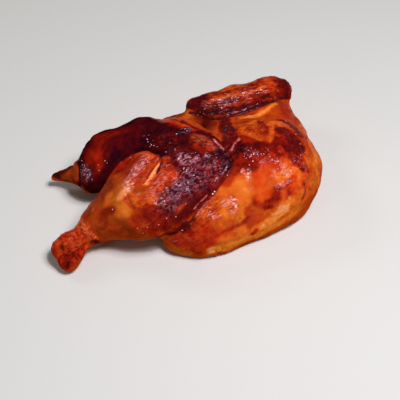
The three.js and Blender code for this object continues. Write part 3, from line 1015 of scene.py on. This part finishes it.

# pale beads and lilac streaks of grease that stand in for glints and highlight dashes, painted highlights;
# and burnt flecks: a pixel and the radius in mm, then loose ones at random
glazeAndGlints = {
    "places": [(212.5, 193.5, 0.75), (215, 191.5, 0.6), (227.5, 175, 0.45), (105.5, 161, 0.35),
               (107, 163, 0.3), (99, 170.5, 0.35), (98, 165, 0.28), (130.5, 157, 0.4), (147, 139, 0.45),
               (148, 141.5, 0.35), (151, 145.5, 0.45), (154, 145.5, 0.4), (176.5, 133.5, 0.5),
               (166.5, 152, 0.45), (175.5, 149, 0.4), (137.5, 228.5, 0.35), (112.5, 209, 0.45),
               (182.5, 230, 0.5), (176, 217, 0.4), (147, 227, 0.35), (159, 225, 0.35), (167, 218.5, 0.35),
               (143, 233, 0.3), (82, 161, 0.4), (88, 170, 0.4), (90, 175, 0.45), (293.5, 102.5, 0.45),
               (296, 134, 0.4), (300, 144, 0.35), (248, 151, 0.45), (254, 154, 0.4), (264, 154, 0.4),
               (252.5, 161.5, 0.45), (249.5, 165, 0.4), (270, 157, 0.4), (185, 129, 0.4),
               (186.5, 131, 0.35)],
    # clusters of painted highlight dots and dashes: path, reach in mm, how many, how long in mm, how pale,
    # and True where they point along the path
    "clusters": [
        ([(205, 106), (220, 101), (237, 96), (250, 92)], 5, 20, 2.0, 0.4),
        ([(143, 160), (138, 168), (132, 178), (128, 186)], 4.5, 20, 0.7, 0.7),
        ([(84, 166), (87, 175), (92, 181)], 3.5, 10, 0.7, 0.7),
        ([(146, 139), (156, 147)], 6, 8, 0.5, 0.9),
        ([(245, 152), (255, 157), (268, 152), (280, 158)], 5, 18, 0.6, 0.8),
        ([(274, 160), (281, 168), (287, 173)], 4, 16, 1.2, 0.7),
        (thighLine, 1.0, 16, 1.0, 0.3, True),
        (breastLine, 1.0, 14, 1.0, 0.3, True),
    ],
    "clusterRadius": (0.14, 0.24), "clusterLength": (0.3, 1.3), "clusterTone": (0.4, 1),
    "loose": 60, "looseRadius": (0.16, 0.32), "looseLength": (1, 1.5),
    "streaks": 90, "streakLength": (1.0, 2.6), "streakRadius": (0.12, 0.18),
    "thickness": 0.45, "turn": 0.5, "sides": 8, "rings": 5, "seed": 11,
    "gather": 1.5,      # how strongly the loose ones keep to wet, crisp skin
    # pale beads show as painted glints, lilac streaks as painted highlight dashes
    "glintBead": (0.90, 0.68, 0.62), "sheenStreak": (0.50, 0.22, 0.27), "roughness": 0.15, "coat": 0.6,
}
flecks = {
    "places": [(218, 214, 0.5), (240, 218, 0.5), (246, 221, 0.4), (251, 207, 0.45), (267, 207, 0.5),
               (279, 206, 0.45), (291, 206, 0.4), (276, 81, 0.5), (279, 84, 0.45)],
    "loose": 60, "looseRadius": (0.18, 0.4), "looseLength": (1, 1.5),
    "streaks": 0, "clusters": [],
    "thickness": 0.5, "turn": 0.5, "sides": 6, "rings": 4, "seed": 23,
    "colour": (0.016, 0.005, 0.003), "roughness": 0.7,
}


def makeDropTree():
    # one drop on every point, along its way and lying on the skin
    drops = bpy.data.node_groups.new("dropsOnSkin", "GeometryNodeTree")
    inputs = [("Geometry", "Geometry"), ("Unit Radius", "Float"), ("Sides", "Int"), ("Rings", "Int"),
              ("Finish", "Material")]
    for name, kind in inputs:
        drops.interface.new_socket(name, in_out="INPUT", socket_type="NodeSocket" + kind)
    drops.interface.new_socket("Geometry", in_out="OUTPUT", socket_type="NodeSocketGeometry")
    given = addNode(drops, "NodeGroupInput").outputs

    def stored(name):
        read = addNode(drops, "GeometryNodeInputNamedAttribute", {"Name": name}, data_type="FLOAT_VECTOR")
        return read.outputs["Attribute"]

    def turnedTo(inputs, **settings):
        turn = addNode(drops, "FunctionNodeAlignRotationToVector", inputs, **settings)
        return turn.outputs["Rotation"]

    def passOn(kind, made, **inputs):
        return addNode(drops, kind, {"Geometry": made, **inputs}).outputs["Geometry"]

    ball = {"Segments": given["Sides"], "Rings": given["Rings"], "Radius": given["Unit Radius"]}
    drop = addNode(drops, "GeometryNodeMeshUVSphere", ball)
    raised = turnedTo({"Vector": stored("up")}, axis="Z")
    turned = turnedTo({"Vector": stored("way"), "Rotation": raised}, axis="X", pivot_axis="Z")
    scatter = {"Points": given["Geometry"], "Instance": drop.outputs["Mesh"], "Rotation": turned,
               "Scale": stored("size")}
    scattered = addNode(drops, "GeometryNodeInstanceOnPoints", scatter)
    made = passOn("GeometryNodeRealizeInstances", scattered.outputs["Instances"])
    made = passOn("GeometryNodeSetShadeSmooth", made)
    made = passOn("GeometryNodeSetMaterial", made, Material=given["Finish"])
    addNode(drops, "NodeGroupOutput", {"Geometry": made})
    return drops


def placeDrops(drops, likely, random):
    # rows of skin point, length, breadth and thickness, and tone: 1 for a bead, 0 for a streak
    ways = grainWay.copy()
    found = KDTree(len(skinPoints))
    for i, point in enumerate(skinPoints):
        found.insert(point, i)
    found.balance()
    rows = []
    for *pixel, radius in drops["places"]:
        rows.append((found.find(onSkin(pixel))[1], radius, radius, radius, 1))
    chance = likely / likely.sum()
    for i in random.choice(len(chance), drops["loose"], replace=False, p=chance):
        radius = random.uniform(*drops["looseRadius"])
        rows.append((i, radius * random.uniform(*drops["looseLength"]), radius, radius, 1))
    for i in random.choice(len(chance), drops["streaks"], replace=False, p=chance):
        radius = random.uniform(*drops["streakRadius"])
        rows.append((i, random.uniform(*drops["streakLength"]), radius, radius, 0))
    for pixels, reach, count, long, tone, *pointsAlong in drops["clusters"]:
        path = pathOnSkin(pixels)
        near = closeTo(skinPoints, path, reach * mm)
        distance, _, _, way = nearPath(skinPoints[near], path)
        chance = fade(distance, 0, reach * mm)
        if pointsAlong:
            ways[near] = way
        for i in random.choice(near, count, replace=False, p=chance / chance.sum()):
            radius = random.uniform(*drops["clusterRadius"])
            length = max(radius, long * random.uniform(*drops["clusterLength"]))
            rows.append((i, length, radius, radius, tone * random.uniform(*drops["clusterTone"])))
    return np.array(rows), ways


def growDrops(name, drops, likely, material):
    random = np.random.default_rng(drops["seed"])
    rows, ways = placeDrops(drops, likely, random)
    chosen = rows[:, 0].astype(int)
    mesh = bpy.data.meshes.new(name)
    mesh.from_pydata(skinPoints[chosen].tolist(), [], [])
    spread = random.uniform(-drops["turn"], drops["turn"], (len(rows), 3))
    fields = {"up": skinNormals[chosen], "way": ways[chosen] + spread,
              "size": rows[:, 1:4] * (1, 1, drops["thickness"])}
    for field, values in fields.items():
        mesh.attributes.new(field, "FLOAT_VECTOR", "POINT").data.foreach_set("vector", values.ravel())
    mesh.attributes.new("tone", "FLOAT", "POINT").data.foreach_set("value", rows[:, 4].copy())
    piece = bpy.data.objects.new(name, mesh)
    bpy.context.collection.objects.link(piece)
    inputs = {"Unit Radius": mm, "Sides": drops["sides"], "Rings": drops["rings"], "Finish": material}
    modifier = piece.modifiers.new("drops", "NODES")
    modifier.node_group = dropTree
    for socket in dropTree.interface.items_tree:
        if socket.in_out == "INPUT" and socket.name in inputs:
            modifier[socket.identifier] = inputs[socket.name]
    graph = bpy.context.evaluated_depsgraph_get()
    piece.data = bpy.data.meshes.new_from_object(piece.evaluated_get(graph))
    piece.modifiers.clear()
    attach(piece, "root")


def makeGlintBeadMaterial(look):
    material, tree, shader = newMaterial("glazeBeadGlints")
    tone = addNode(tree, "ShaderNodeAttribute", attribute_name="tone").outputs["Fac"]
    shades = {"Factor": tone, "A": look["sheenStreak"], "B": look["glintBead"]}
    colour = addNode(tree, "ShaderNodeMix", shades, data_type="RGBA").outputs["Result"]
    feed(tree, shader, {"Base Color": colour, "Roughness": look["roughness"], "Coat Weight": look["coat"]})
    return material


def makePlainMaterial(name, colour, roughness):
    material, tree, shader = newMaterial(name)
    feed(tree, shader, {"Base Color": colour, "Roughness": roughness})
    return material


tree = skinTree(bird)       # drops lie on the finished skin
skinPoints, skinNormals = readPoints(bird.data), readNormals(bird.data)
onTop = (skinPoints[:, 2] > flesh["floorBand"]).astype(float)
dropTree = makeDropTree()
wetAndCrisp = onTop * (skinValues["wet"] * skinValues["crisp"]) ** glazeAndGlints["gather"]
burnt = makePlainMaterial("burntFleck", flecks["colour"], flecks["roughness"])
growDrops("glazeBeadGlints", glazeAndGlints, wetAndCrisp, makeGlintBeadMaterial(glazeAndGlints))
growDrops("burntFlecks", flecks, onTop * skinValues["roast"], burnt)
print("fat and flecks laid on")

# floor and light
studio = {
    "floorSize": 6.0,
    "floorColour": (0.715, 0.83, 0.735), "floorRoughness": 0.7,
    # name, azimuth and elevation in degrees, distance and size in metres, watts and colour
    "lights": [
        ("keyLight", 38, 66, 1.0, 0.42, 7.5, (0.99, 0.885, 0.96)),
        ("glintLight", 25, 68, 1.0, 0.08, 2.4, (1.0, 0.68, 0.88)),
        ("backLight", -140, 38, 1.0, 0.3, 1.2, (1.0, 0.8, 0.84)),
        ("sideLight", -62, 24, 1.0, 0.15, 0.4, (0.9, 0.95, 1.0)),
    ],
    "skyColour": (1.0, 0.97, 0.94), "sky": 0.07,
}


def makeFloor(room):
    half = room["floorSize"] / 2
    corners = [(-half, -half, 0), (half, -half, 0), (half, half, 0), (-half, half, 0)]
    mesh = bpy.data.meshes.new("floor")
    mesh.from_pydata(corners, [], [(0, 1, 2, 3)])
    mesh.materials.append(makePlainMaterial("paleFloor", room["floorColour"], room["floorRoughness"]))
    floor = bpy.data.objects.new("floor", mesh)
    bpy.context.collection.objects.link(floor)


def makeSoftLight(name, azimuth, elevation, distance, size, power, colour):
    data = bpy.data.lights.new(name, "AREA")
    data.shape = "DISK"
    data.size = size
    data.energy = power
    data.color = colour
    light = bpy.data.objects.new(name, data)
    way = direction(azimuth, elevation)
    light.location = distance * way
    light.rotation_euler = way.to_track_quat("Z", "Y").to_euler()
    bpy.context.collection.objects.link(light)


def makeStudio(room):
    makeFloor(room)
    for light in room["lights"]:
        makeSoftLight(*light)
    world = bpy.data.worlds.new("paleRoom")
    world.use_nodes = True
    background = world.node_tree.nodes["Background"]
    feed(world.node_tree, background, {"Color": room["skyColour"], "Strength": room["sky"]})
    bpy.context.scene.world = world
    bpy.context.scene.view_settings.view_transform = "Standard"


makeStudio(studio)
print("studio lit")
